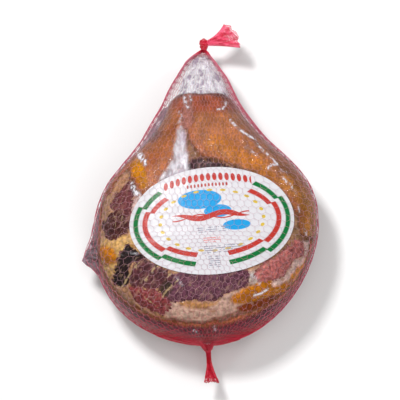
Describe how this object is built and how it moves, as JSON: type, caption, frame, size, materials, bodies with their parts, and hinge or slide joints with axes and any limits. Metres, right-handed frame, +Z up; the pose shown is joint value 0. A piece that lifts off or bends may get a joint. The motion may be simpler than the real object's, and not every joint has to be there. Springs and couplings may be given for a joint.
{
  "type": "cured ham",
  "caption": "Boned and pressed cured ham on its skin side, cut face up, in a tight clear bag with an oval label, held in a red net knotted at the shank end and gathered at the butt end.",
  "frame": {"origin": "middle of the flat patch on which the netted ham rests, at the height of the surface under it", "axes": "+Z up, +Y from the butt end to the shank end, +X to the right as seen from above with the shank away"},
  "size_m": [0.2972, 0.4549, 0.1332],
  "materials": {
    "meat": null,
    "film": "clear glossy packing film, wrinkled",
    "paper": null,
    "net": "knitted red plastic netting, half glossy"
  },
  "bodies": {
    "root": {"ham": "meat", "vacuum_bag": "film", "label": "paper", "net_sleeve": "net", "net_top_knot": "net", "net_top_tail": "net", "net_bottom_tail": "net"}
  },
  "joints": []
}
